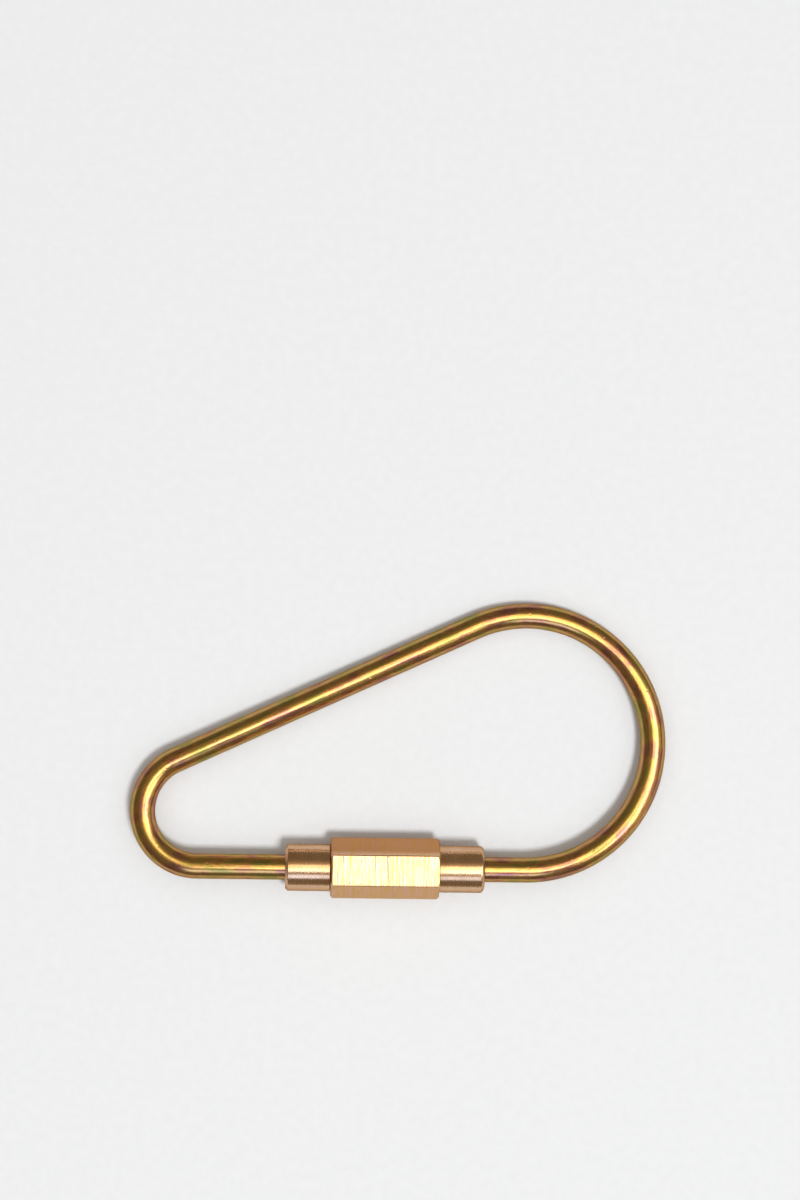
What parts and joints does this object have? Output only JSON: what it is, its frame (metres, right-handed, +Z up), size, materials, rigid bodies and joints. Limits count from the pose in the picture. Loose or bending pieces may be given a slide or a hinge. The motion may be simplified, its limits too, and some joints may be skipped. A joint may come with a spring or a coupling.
{
  "type": "screw-lock carabiner keyring",
  "caption": "Pear-shaped loop of bent brass rod, closed by a captive hexagonal screw barrel that draws back to let keys on.",
  "frame": {"origin": "on the table that the keyring lies on, under the middle of its bounding box", "axes": "+X along the screw barrel from the small bend towards the big bend, +Y from the barrel across the loop, +Z up from the table"},
  "size_m": [0.0642, 0.0356, 0.0063],
  "materials": {
    "drawn_brass": "drawn rod, bright satin with fine lines along it",
    "turned_brass": "lathe-turned, bright with fine lines round it",
    "hex_bar_brass": "cross-brushed satin flats, turned nose"
  },
  "bodies": {
    "loop": {"rod_loop": "drawn_brass", "stop_ferrule": "turned_brass"},
    "guide": {"guide_collar": "turned_brass"},
    "barrel": {"hex_barrel": "hex_bar_brass"}
  },
  "joints": [
    {"name": "barrel_draw", "type": "slide", "parent": "loop", "child": "guide", "axis": [1, 0, 0], "range_m": [-0.0085, 0]},
    {"name": "barrel_turn", "type": "hinge", "parent": "guide", "child": "barrel", "pos_m": [-0.00153, -0.01414, 0.00317], "axis": [1, 0, 0], "range_deg": [-6120, 0]}
  ],
  "couplings": [
    {"joint": "barrel_turn", "follows": "barrel_draw", "rad_per_m": 12566}
  ]
}
